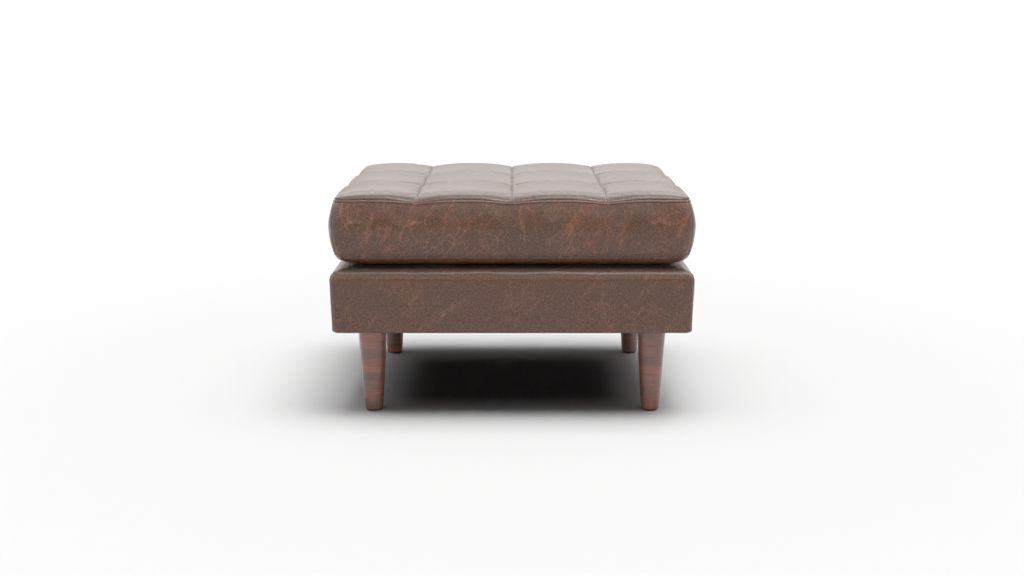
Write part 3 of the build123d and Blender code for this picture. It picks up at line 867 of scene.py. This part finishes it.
def thicken(piece):
    """Gives a skin its thickness on the inner side."""
    shell = piece.modifiers.new("thickness", "SOLIDIFY")
    shell.thickness = leather_thickness
    shell.offset = -1


def corner_slices(lines_a, lines_b):
    """The rim's points that belong to each side, split at the middle of each corner."""
    a, b = len(lines_a) - 1, len(lines_b) - 1
    corners_at = (0, a, a + b, 2 * a + b, 2 * (a + b))
    names = ("front", "right", "rear", "left")
    return {
        name: [k % corners_at[-1] for k in range(start, end + 1)]
        for name, start, end in zip(names, corners_at, corners_at[1:])
    }


def boxing_bands():
    """The four bulging side bands, with a slot for the zip in the rear one, and their stitching."""
    levels, grid = boxing_points()
    for side, indices in corner_slices(lines_x, lines_y).items():
        band = grid[:, indices, :]

        def is_leather(i, j, band=band):
            x, _, z = band[i:i + 2, j:j + 2].mean(axis=(0, 1))
            return abs(z - bulge_height) >= zip_slot / 2 or abs(x) >= zip_half

        faces = grid_faces(*band.shape[:2], keep=is_leather if side == "rear" else None)
        piece = add_piece(
            f"{side}_boxing", band.reshape(-1, 3), faces, cushion_leather, "cushion", "leather")
        remove_loose(piece)
        thicken(piece)
        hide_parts(f"cushion_{side}_boxing")
    for name, heights in (
        ("top_seam_stitches", [top_seam - s for s in stitch_rows_top]),
        ("bottom_seam_stitches", [bottom_seam + stitch_rows_bottom[1]]),
    ):
        rows_of_stitches = []
        for z in heights:
            line = grid[int(np.abs(levels - z).argmin())]
            outward = np.column_stack([outward_normals(line[:, :2]), np.zeros(len(line))])
            rows_of_stitches.append(stitch_row(line, outward))
        add_piece(name, *joined(rows_of_stitches), seam_thread, "cushion", "leather")


def joined(parts):
    """One list of points and faces from several."""
    points, faces = [], []
    for more_points, more_faces in parts:
        start = sum(len(p) for p in points)
        points.append(more_points)
        faces += [tuple(start + v for v in face) for face in more_faces]
    return np.concatenate(points), faces


def stitch_row(line, outward):
    """A row of stitches along a closed line, each lying in the surface with its ends sunk."""
    closed = np.vstack([line, line[:1]])
    out = np.vstack([outward, outward[:1]])
    reach = np.concatenate([[0], np.cumsum(np.linalg.norm(np.diff(closed, axis=0), axis=1))])
    count = int(reach[-1] // (stitch_length + stitch_gap))
    centres = (np.arange(count) + 0.5) * reach[-1] / count

    def at(places, values):
        return np.stack([np.interp(places % reach[-1], reach, values[:, k]) for k in range(3)], axis=1)

    ends = at(centres + stitch_length / 2, closed)
    starts = at(centres - stitch_length / 2, closed)
    along = ends - starts
    normal = at(centres, out)
    across = np.cross(along, normal)
    across /= np.linalg.norm(across, axis=1)[:, None]
    sections = ((-0.5, 0.3, -1.1), (-0.4, 0.9, -0.1), (0.0, 1.0, 0.2), (0.4, 0.9, -0.1), (0.5, 0.3, -1.1))
    sides = 6
    rings = []
    for share, size, lift in sections:
        for k in range(sides):
            angle = 2 * math.pi * k / sides
            radial = normal * (math.cos(angle) * size + lift) + across * math.sin(angle) * size
            rings.append((starts + ends) / 2 + along * share + radial * thread_radius)
    points = np.stack(rings, axis=1).reshape(-1, 3)
    first, last = caps(len(sections), sides)
    one = flipped(grid_faces(len(sections), sides, loop=True)) + [first, *flipped([last])]
    each = len(sections) * sides
    faces = [tuple(s * each + v for v in face) for s in range(count) for face in one]
    return points, faces


def remove_loose(piece):
    """Deletes points that no face uses."""
    used = set()
    for polygon in piece.data.polygons:
        used.update(polygon.vertices)
    if len(used) == len(piece.data.vertices):
        return
    order = {old: new for new, old in enumerate(sorted(used))}
    points = [tuple(piece.data.vertices[k].co) for k in sorted(used)]
    faces = [tuple(order[v] for v in polygon.vertices) for polygon in piece.data.polygons]
    material = piece.data.materials[0]
    mesh = bpy.data.meshes.new(piece.name)
    mesh.from_pydata(points, [], faces)
    mesh.polygons.foreach_set("use_smooth", [True] * len(mesh.polygons))
    mesh.materials.append(material)
    piece.data = mesh


def cushion_underside():
    """The bottom panel with its filling: it rolls in from the bottom seam to the flat it rests on."""
    drop = bottom_seam - cushion_rest
    tuck_shares = (0, 0.03, 0.07, 0.13, 0.22, 0.35, 0.50, 0.68, 0.85, 1)
    drop_shares = (0, 0.17, 0.32, 0.46, 0.60, 0.74, 0.85, 0.93, 0.98, 1)
    tucks = np.linspace(0, 1, 40) ** 1.6
    drops = np.interp(tucks, tuck_shares, drop_shares)
    for _ in range(2):
        drops[1:-1] = (drops[:-2] + drops[1:-1] + drops[2:]) / 3
    grid = []
    for tuck_share, drop_share in zip(tucks, drops):
        tuck = tuck_share * underside_tuck
        half = [h - bottom_draw_in - tuck for h in cushion_half]
        radius = corner_radius - bottom_draw_in + tuck * 0.35
        plan = spread(rim, half[0], half[1], radius, core)
        inward = groove_profile(-drop_share * drop - tuck, stitch_rows_bottom, bottom_seam_strength)
        plan = plan - outward_normals(plan) * inward
        grid.append(np.column_stack([plan, np.full(len(plan), bottom_seam - drop_share * drop)]))
    inner_ring = grid[0] * (inner_rim_share, inner_rim_share, 1) + (0, 0, 12 * MM)
    grid = np.array([inner_ring, *grid])
    height, width = grid.shape[:2]
    first, last = caps(height, width)
    faces = flipped(grid_faces(height, width, loop=True) + [last]) + [first]
    points = grid.reshape(-1, 3)
    piece = add_piece("cushion_underside", points, faces, cushion_leather, "cushion", "leather")
    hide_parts("cushion_bottom_panel", "cushion_core")


def base_profile():
    """Rows of the base's leather: (draw-in, height) from the deck over the roll to the turned-in edge."""
    roll = [math.radians(angle) for angle in np.linspace(90, 0, 22)]
    foot = [math.radians(angle) for angle in np.linspace(0, 90, 10)]
    foot_top = base_low + foot_radius
    profile = (
        [(d, base_high) for d in np.linspace(border_width, roll_radius, 16)[:-1]]
        + [(roll_radius * (1 - math.cos(a)), base_high - roll_radius * (1 - math.sin(a))) for a in roll]
        + [(0, z) for z in np.linspace(base_high - roll_radius, foot_top, 24)[1:-1]]
        + [(foot_radius * (1 - math.cos(a)), foot_top - foot_radius * math.sin(a)) for a in foot]
        + [(d, base_low) for d in np.linspace(foot_radius, underside_turn - draw_in_at_foot, 8)[1:]]
    )
    lean = draw_in_at_foot / (base_high - base_low)
    return [(d + lean * (base_high - z), z) for d, z in profile]


base_core = (base_half[0] - base_corner, base_half[1] - base_corner)
base_lines_x = edge_lines(base_core[0], (-base_core[0], base_core[0]))
base_lines_y = edge_lines(base_core[1], (-base_core[1], base_core[1]))
base_rim = rim_points(base_lines_x, base_lines_y)


def base_loop(draw, z):
    """Points round the base, drawn in by a length, at one height."""
    radius = max(base_corner - 0.3 * draw, 5 * MM)
    plan = spread(base_rim, base_half[0] - draw, base_half[1] - draw, radius, base_core)
    return np.column_stack([plan, np.full(len(plan), z)])


def base_leather():
    """The four leather panels that wrap the base, sewn at the corners."""
    profile = base_profile()
    grid = np.array([base_loop(draw, z) for draw, z in profile])
    height, width = grid.shape[:2]
    faces = flipped(grid_faces(height, width, loop=True))
    held = [z < base_low + foot_radius or draw > border_width - 4 * MM for draw, z in profile]
    sewn = np.repeat(np.array(held, float), width)
    moved = settle(grid.reshape(-1, 3), faces, sewn, pressure=0.2, spare=0.002, cap=0.25 * MM)
    grid = grid + moved.reshape(grid.shape)
    for row in grid:
        x, y, z = row.T
        wobble = wobble_height * np.sin(x * 37 + 1.3) * np.sin(y * 41 + z * 50)
        wobble -= corner_groove(row, base_core)
        row[:, :2] += outward_normals(row[:, :2]) * wobble[:, None]
    for side, indices in corner_slices(base_lines_x, base_lines_y).items():
        panel = grid[:, indices, :]
        faces = flipped(grid_faces(*panel.shape[:2]))
        piece = add_piece(f"{side}_wrap", panel.reshape(-1, 3), faces, cushion_leather, "base", "leather")
        thicken(piece)
        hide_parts(f"base_{side}_panel")


def base_padding():
    """The foam of the deck and the wadding round the rails, just under the leather."""
    profile = base_profile()
    under_leather = [(d + leather_clearance, z - leather_clearance) for d, z in profile if z > pad_bottom]
    rings = [(d, z) for d, z in under_leather if z > pad_bottom] + [(under_leather[-1][0], pad_bottom)]
    grid = np.array([base_loop(d, z) for d, z in rings])
    height, width = grid.shape[:2]
    first, last = caps(height, width)
    faces = flipped(grid_faces(height, width, loop=True) + [last]) + [first]
    deck = add_piece("deck_foam", grid.reshape(-1, 3), faces, foam, "base", "foam")
    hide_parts("deck_pad")

    wadding_low, wadding_high = base_low + foot_radius, pad_bottom - leather_clearance
    outer = [
        (d + leather_clearance, z) for d, z in profile
        if wadding_low < z < wadding_high and d < roll_radius
    ]
    inner = [(rail_cover + 0.1 * MM, z) for d, z in reversed(outer)]
    grid = np.array([base_loop(d, z) for d, z in outer + inner + outer[:1]])
    faces = flipped(grid_faces(*grid.shape[:2], loop=True))
    wadding = add_piece("side_wadding", grid.reshape(-1, 3), faces, foam, "base", "foam")
    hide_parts("side_padding")


def platform_sheet():
    """The cloth over the deck inside the leather border, with faint ripples, and its sewn edge."""
    half = [h - border_width + 7 * MM for h in base_half]
    xs, ys = (np.linspace(-h, h, round(h / (3.5 * MM))) for h in half)
    x, y = np.meshgrid(xs, ys)
    ripple = np.sin(x * 23 + 1.5 * np.sin(y * 9)) * np.sin(y * 17 + 0.7) + 0.5 * np.sin(x * 51 + y * 33)
    edge = np.minimum(half[0] - np.abs(x), half[1] - np.abs(y))
    z = base_high - 0.8 * MM + 0.18 * MM * ripple - 1.3 * MM * np.exp(-(edge / (6 * MM)) ** 2)
    points = np.stack([x, y, z], axis=2).reshape(-1, 3)
    faces = grid_faces(len(ys), len(xs))
    sheet = add_piece("platform_sheet", points, faces, platform_cloth, "base", "lining_cloth")
    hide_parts("platform_panel")
    stitched = [h - border_width + 4 * MM for h in base_half]
    stitches = rectangle_stitches(stitched, base_high)
    add_piece("platform_stitches", *stitches, seam_thread, "base", "leather")


def rectangle_stitches(half, z, centre=(0, 0), facing=1):
    """Stitches round a flat rectangle."""
    corners = [(centre[0] + sx * half[0], centre[1] + sy * half[1])
               for sx, sy in ((-1, -1), (1, -1), (1, 1), (-1, 1))]
    line = []
    for (ax, ay), (bx, by) in zip(corners, corners[1:] + corners[:1]):
        for t in np.linspace(0, 1, 40)[:-1]:
            line.append((ax + (bx - ax) * t, ay + (by - ay) * t, z))
    line = np.array(line)
    return stitch_row(line, np.tile((0.0, 0.0, float(facing)), (len(line), 1)))


def strip_stitching():
    """The thread that holds the hook strips to the platform and the loop strips to the cushion."""
    for name, node, body, facing in (
        ("hook_strip_stitches", "hook_strips", "base", 1),
        ("loop_strip_stitches", "loop_strips", "cushion", -1),
    ):
        low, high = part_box(node)
        z = high.z if facing > 0 else low.z
        strip = np.array([(v.co.x, v.co.y) for v in nodes[node].data.vertices])
        quarter = strip[(strip[:, 0] > 0) & (strip[:, 1] > 0)]
        inner, outer = quarter.min(axis=0), quarter.max(axis=0)
        centre, half = (inner + outer) / 2, (outer - inner) / 2 - 3 * MM
        stitches = [
            rectangle_stitches(half, z, (sx * centre[0], sy * centre[1]), facing)
            for sx in (-1, 1) for sy in (-1, 1)
        ]
        add_piece(name, *joined(stitches), grip_thread, body, "grip_tape")


def wire(path, radius):
    """A round wire along an open line of points."""
    sides = 6
    path = np.array(path, float)
    ahead = np.gradient(path, axis=0)
    ahead /= np.linalg.norm(ahead, axis=1)[:, None]
    flat = np.cross(path[-1] - path[0], path[len(path) // 2] - path[0])
    flat /= np.linalg.norm(flat)
    points = []
    for place, direction in zip(path, ahead):
        other = np.cross(direction, flat)
        for k in range(sides):
            angle = 2 * math.pi * k / sides
            points.append(place + radius * (math.cos(angle) * flat + math.sin(angle) * other))
    first, last = caps(len(path), sides)
    faces = grid_faces(len(path), sides, loop=True) + flipped([first]) + [last]
    return np.array(points), faces


def under_sheet():
    """Black cambric under the frame: hemmed, sagging a little and cut round the legs."""
    half = (dust_high.x, dust_high.y)
    pitch = 4 * MM
    xs, ys = (np.linspace(-h, h, 2 * round(h / pitch) + 1) for h in half)
    x, y = np.meshgrid(xs, ys)
    edge = np.minimum(half[0] - np.abs(x), half[1] - np.abs(y))
    slack = 1 + 0.25 * np.sin(x * 19 + 1) * np.sin(y * 23)
    sag = dust_cover_sag * np.clip(edge / (60 * MM), 0, 1) ** 1.5 * slack
    hem = 0.35 * MM * (edge < dust_cover_hem)
    z = dust_low.z + 0.3 * MM - sag - hem
    outside = np.full(x.shape, 1.0)
    for sx in (-1, 1):
        for sy in (-1, 1):
            cx, cy = sx * leg_middle[0], sy * leg_middle[1]
            dx, dy = x - cx, y - cy
            distance = np.hypot(dx, dy)
            on_rim = np.abs(distance - leg_opening) < 0.6 * pitch
            x = np.where(on_rim, cx + dx / distance * leg_opening, x)
            y = np.where(on_rim, cy + dy / distance * leg_opening, y)
            lift = sag * np.clip(1 - (distance - leg_opening) / leg_opening_reach, 0, 1)
            z = np.where(distance < leg_opening + leg_opening_reach, z + lift, z)
            outside = np.minimum(outside, np.hypot(x - cx, y - cy) - leg_opening)
    points = np.stack([x, y, z], axis=2).reshape(-1, 3)
    cut = (outside < 0.05 * MM).ravel()
    faces = [f for f in flipped(grid_faces(len(ys), len(xs))) if not all(cut[v] for v in f)]
    sheet = add_piece("dust_sheet", points, faces, cambric, "base", "lining_cloth")
    remove_loose(sheet)
    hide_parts("dust_cover")
    sheet_staples(half)


def sheet_staples(half):
    """The staples along the dust sheet's four edges."""
    bends = ((-1, 1.2), (-0.97, 0.1), (-0.86, -0.3), (0.86, -0.3), (0.97, 0.1), (1, 1.2))
    staples = []
    for along_x, run, place in ((True, half[0], half[1]), (False, half[1], half[0])):
        reach = run - staple_end_gap
        count = int(2 * reach // staple_pitch)
        for side in (staple_inset - place, place - staple_inset):
            for k in range(count + 1):
                centre = (k / count * 2 - 1) * reach
                path = []
                for offset, lift in bends:
                    u = centre + offset * staple_width / 2
                    level = dust_low.z - 0.2 * MM + lift * MM
                    path.append((u, side, level) if along_x else (side, u, level))
                staples.append(wire(path, staple_wire))
    add_piece("dust_sheet_staples", *joined(staples), steel, "base", "fixing_steel")


def zip_teeth():
    """The two closed rows of the zip's teeth, on their beaded edges."""
    pitch = 1.9 * MM
    length, depth = chain_high.x - chain_low.x, chain_high.y - chain_low.y
    count = round(length / pitch)
    middle = (chain_low.z + chain_high.z) / 2
    section = ((-1, 0.1), (1, 0.1), (1, 0.8), (0.6, 1.0), (-0.6, 1.0), (-1, 0.8))
    outline = ((2.0 * MM, 0.75), (0.6 * MM, 0.62), (0, 0.5), (-0.9 * MM, 0.8))
    first, last = caps(len(outline), len(section))
    tooth_faces = grid_faces(len(outline), len(section), loop=True) + flipped([first]) + [last]
    teeth = []
    for k in range(count):
        facing = 1 if k % 2 else -1
        x = chain_low.x + (k + 0.5) * length / count
        points = [
            (x + dx * share * pitch / 2, chain_low.y + dy * depth, middle + facing * out)
            for out, share in outline for dx, dy in section
        ]
        teeth.append((np.array(points), flipped(tooth_faces) if facing > 0 else tooth_faces))
    row = add_piece("zip_teeth", *joined(teeth), brass, "cushion", "zip_metal")
    row.data.polygons.foreach_set("use_smooth", [False] * len(row.data.polygons))
    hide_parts("zip_chain")


def cut_plate(name, body, outlines, thickness, origin, axis_v, bevel=0.3 * MM):
    """A flat piece of the zip with rounded edges, cut to closed outlines, the first outside, the rest holes.

    The outlines' first coordinate runs along X and their second along axis_v.
    """
    curve = bpy.data.curves.new(name, "CURVE")
    curve.dimensions = "2D"
    curve.fill_mode = "BOTH"
    curve.extrude = thickness / 2 - bevel
    curve.bevel_depth = bevel
    curve.bevel_resolution = 2
    for outline in outlines:
        spline = curve.splines.new("POLY")
        spline.points.add(len(outline) - 1)
        for point, (u, v) in zip(spline.points, outline):
            point.co = (u, v, 0, 1)
        spline.use_cyclic_u = True
    shape = bpy.data.objects.new(name, curve)
    mesh = bpy.data.meshes.new_from_object(shape)
    bpy.data.objects.remove(shape)
    axis_u, axis_v = Vector((1, 0, 0)), Vector(axis_v)
    axis_w = axis_u.cross(axis_v)
    points = [Vector(origin) + v.co.x * axis_u + v.co.y * axis_v + v.co.z * axis_w for v in mesh.vertices]
    faces = [tuple(p.vertices) for p in mesh.polygons]
    piece = add_piece(name, points, faces, brass, body, "zip_metal")
    piece.data.set_sharp_from_angle(angle=math.radians(35))
    return piece


def rounded(low_u, low_v, high_u, high_v, radius):
    """The outline of a rectangle with round corners."""
    steps = 5
    centres = (
        (high_u - radius, high_v - radius),
        (low_u + radius, high_v - radius),
        (low_u + radius, low_v + radius),
        (high_u - radius, low_v + radius),
    )
    outline = []
    for quarter, (cu, cv) in enumerate(centres):
        for k in range(steps + 1):
            angle = math.radians(90 * quarter + 90 * k / steps)
            outline.append((cu + radius * math.cos(angle), cv + radius * math.sin(angle)))
    return outline


def mirrored(half_outline):
    """An outline from its upper half, going back along the lower one."""
    return half_outline + [(u, -v) for u, v in reversed(half_outline) if v > 0]


def zip_hardware():
    """The cast slider with its cheeks and bail, and the pull that swings on the bail."""
    middle = Vector(((slider_low.x + slider_high.x) / 2, 0, (slider_low.z + slider_high.z) / 2))
    half_x, half_z = (slider_high.x - slider_low.x) / 2, (slider_high.z - slider_low.z) / 2
    plate_thickness = 1.4 * MM
    plate_back = slider_low.y + 1.6 * MM
    plate_front = plate_back + plate_thickness
    upwards, outwards = (0, 0, 1), (0, 1, 0)

    shield = mirrored([
        (half_x * 0.78, 0), (half_x, half_z * 0.35), (half_x, half_z * 0.95),
        (-half_x * 0.2, half_z), (-half_x, half_z * 0.72),
    ])
    origin = (middle.x, plate_back + plate_thickness / 2, middle.z)
    plate = cut_plate("slider_plate", "zip_slider", [shield], plate_thickness, origin, upwards)
    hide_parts("zip_slider")

    cheek = rounded(-half_x, -1.6 * MM, half_x, 0.3 * MM, 0.35 * MM)
    for name, facing in (("slider_cheek_low", -1), ("slider_cheek_high", 1)):
        origin = (middle.x, plate_back, middle.z + facing * 2.82 * MM)
        cut_plate(name, "zip_slider", [cheek], 0.8 * MM, origin, outwards, bevel=0.2 * MM)

    rise = slider_high.y - plate_front
    arches = []
    for out, top in ((4.0 * MM, rise), (2.6 * MM, rise - 1.4 * MM)):
        side = [
            (out, -0.3 * MM), (out, top - 1.2 * MM),
            (out - 0.45 * MM, top - 0.35 * MM), (out - 1.3 * MM, top),
        ]
        arches.append(side + [(-u, v) for u, v in reversed(side)])
    bail = arches[0] + arches[1][::-1]
    cut_plate("slider_bail", "zip_slider", [bail], 3 * MM, (middle.x, plate_front, middle.z), outwards)

    pull_half = (pull_high.z - pull_low.z) / 2
    length = pull_high.x - pull_low.x
    tag = mirrored([
        (length, pull_half), (length - 8 * MM, pull_half), (length - 11 * MM, pull_half * 0.82),
        (3 * MM, pull_half * 0.7), (1 * MM, pull_half * 0.5), (0, 0),
    ])
    eye = rounded(length - 7.6 * MM, -2.35 * MM, length - 1.6 * MM, 2.35 * MM, 0.8 * MM)
    grip = rounded(3.4 * MM, -1.3 * MM, length - 12 * MM, 1.3 * MM, 1.25 * MM)
    origin = (pull_low.x, (pull_low.y + pull_high.y) / 2, middle.z)
    thickness = pull_high.y - pull_low.y
    pull = cut_plate("pull_tag", "zip_pull", [tag, eye, grip], thickness, origin, upwards)
    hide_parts("zip_pull")


def stage_piece(name, points, faces, material):
    """Makes the floor or the backdrop, which aren't part of the object."""
    mesh = bpy.data.meshes.new(name)
    mesh.from_pydata(points, [], faces)
    mesh.materials.append(material)
    piece = bpy.data.objects.new(name, mesh)
    bpy.context.scene.collection.objects.link(piece)
    return piece


def add_surroundings():
    """What the gloss mirrors: a bright room behind and above, and a darker band with a light in front."""
    world = bpy.data.worlds.new("studio")
    bpy.context.scene.world = world
    world.use_nodes = True
    world.cycles_visibility.diffuse = False
    room = Surroundings(world)
    room.shader.inputs["Strength"].default_value = 1.0
    x, y, z = room.parts(room.place)
    in_front = 1 - (abs(x) + y).step(-0.08, 0.08)
    wall = (0.58 + z.step(0.08, 0.5) * 1.42) * (1 - z.step(0.74, 0.9))
    front = z.step(0.24, 0.36) * (1 - z.step(0.6, 0.85)) * 1.5 + 0.03
    room.give("Color", wall * (1 - in_front) + front * in_front)


def add_lights(floor):
    """Broad soft lights overhead, and one from the front that doesn't reach the floor."""
    scene = bpy.context.scene
    lit_by_fill = bpy.data.collections.new("lit_by_fill")
    for piece in scene.objects:
        if piece.type == "MESH" and piece is not floor and piece.name != "cushion_underside":
            lit_by_fill.objects.link(piece)
    for name, strength, width, lean_x, lean_y in (
        ("key_softbox", 1.9, 36, 7.7, -3),
        ("overhead_panel", 0.8, 90, 0.4, 2.3),
        ("left_panel", 0.35, 42, -23, 0),
        ("inner_left_panel", 0.35, 42, -8, 0),
        ("inner_right_panel", 0.35, 42, 8, 0),
        ("right_panel", 0.35, 42, 23, 0),
        ("front_fill", 0.66, 20, 6, -85),
    ):
        lamp = bpy.data.lights.new(name, "SUN")
        lamp.energy = strength
        lamp.angle = math.radians(width)
        holder = bpy.data.objects.new(name, lamp)
        toward = Vector((math.tan(math.radians(lean_x)), math.tan(math.radians(lean_y)), 1))
        holder.rotation_euler = toward.to_track_quat("Z", "Y").to_euler()
        holder.visible_glossy = name == "key_softbox"
        scene.collection.objects.link(holder)
        if name == "front_fill":
            holder.light_linking.receiver_collection = lit_by_fill


def add_backdrop():
    """A white dome that only the camera sees."""
    points = []
    for ring in range(dome_rings):
        rise = math.pi / 2 * ring / dome_rings
        out, z = floor_reach * math.cos(rise), floor_reach * math.sin(rise) - dome_drop
        for column in range(dome_columns):
            turn = 2 * math.pi * column / dome_columns
            points.append((out * math.cos(turn), out * math.sin(turn), z))
    faces = grid_faces(dome_rings, dome_columns, loop=True)
    backdrop = stage_piece("backdrop", points, faces, backdrop_finish())
    backdrop.visible_diffuse = False
    backdrop.visible_glossy = False
    backdrop.visible_shadow = False


def add_camera():
    """The camera at the photo's place, height and pitch."""
    scene = bpy.context.scene
    lens = bpy.data.cameras.new("camera")
    lens.sensor_width = sensor_width
    lens.lens = focal_pixels / photo_width * sensor_width
    camera = bpy.data.objects.new("camera", lens)
    camera.location = (0, -lens_distance, lens_height)
    camera.rotation_euler = (math.radians(90 - lens_pitch), 0, 0)
    scene.collection.objects.link(camera)
    scene.camera = camera
    scene.view_settings.view_transform = "Standard"
    scene.view_settings.look = "None"


tufted_top()
boxing_bands()
cushion_underside()
base_leather()
base_padding()
platform_sheet()
strip_stitching()
under_sheet()
zip_teeth()
zip_hardware()

floor_corners = [(sx * floor_reach, sy * floor_reach, 0) for sx, sy in ((-1, -1), (1, -1), (1, 1), (-1, 1))]
floor = stage_piece("floor", floor_corners, [(0, 1, 2, 3)], floor_finish())
add_surroundings()
add_lights(floor)
add_backdrop()
add_camera()
